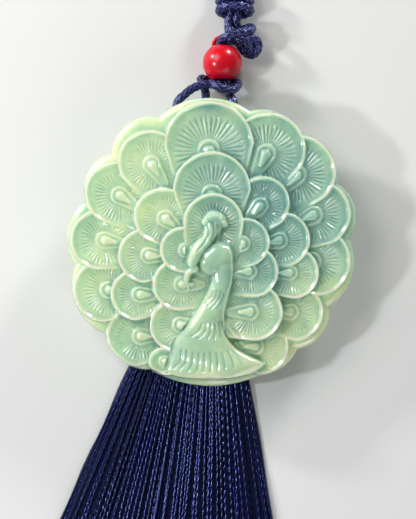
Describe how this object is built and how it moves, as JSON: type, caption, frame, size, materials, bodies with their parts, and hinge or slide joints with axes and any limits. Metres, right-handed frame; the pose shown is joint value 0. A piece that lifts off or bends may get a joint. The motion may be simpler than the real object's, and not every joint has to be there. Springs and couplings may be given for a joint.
{
  "type": "jade bag charm",
  "caption": "Scalloped jade plaque carved with a peacock in a fan of feathers, on a knotted cord with a red bead, a tassel and a hanging loop.",
  "frame": {"origin": "on the table, under the middle of the charm's box without the free hanging loop", "axes": "+X right and +Y up on the carved face, from the tassel towards the hanging loop; +Z up from the table"},
  "size_m": [0.0588, 0.1742, 0.0123],
  "materials": {
    "jade": "polished stone, slightly translucent",
    "red_glass": "polished",
    "navy_cord": "braided cord",
    "navy_thread": "twisted thread"
  },
  "bodies": {
    "root": {"jade_plaque": "jade", "red_bead": "red_glass", "red_ring": "red_glass", "knotted_cord": "navy_cord", "tassel": "navy_thread", "tassel_binding": "navy_thread", "hanging_loop": "navy_cord"}
  },
  "joints": []
}
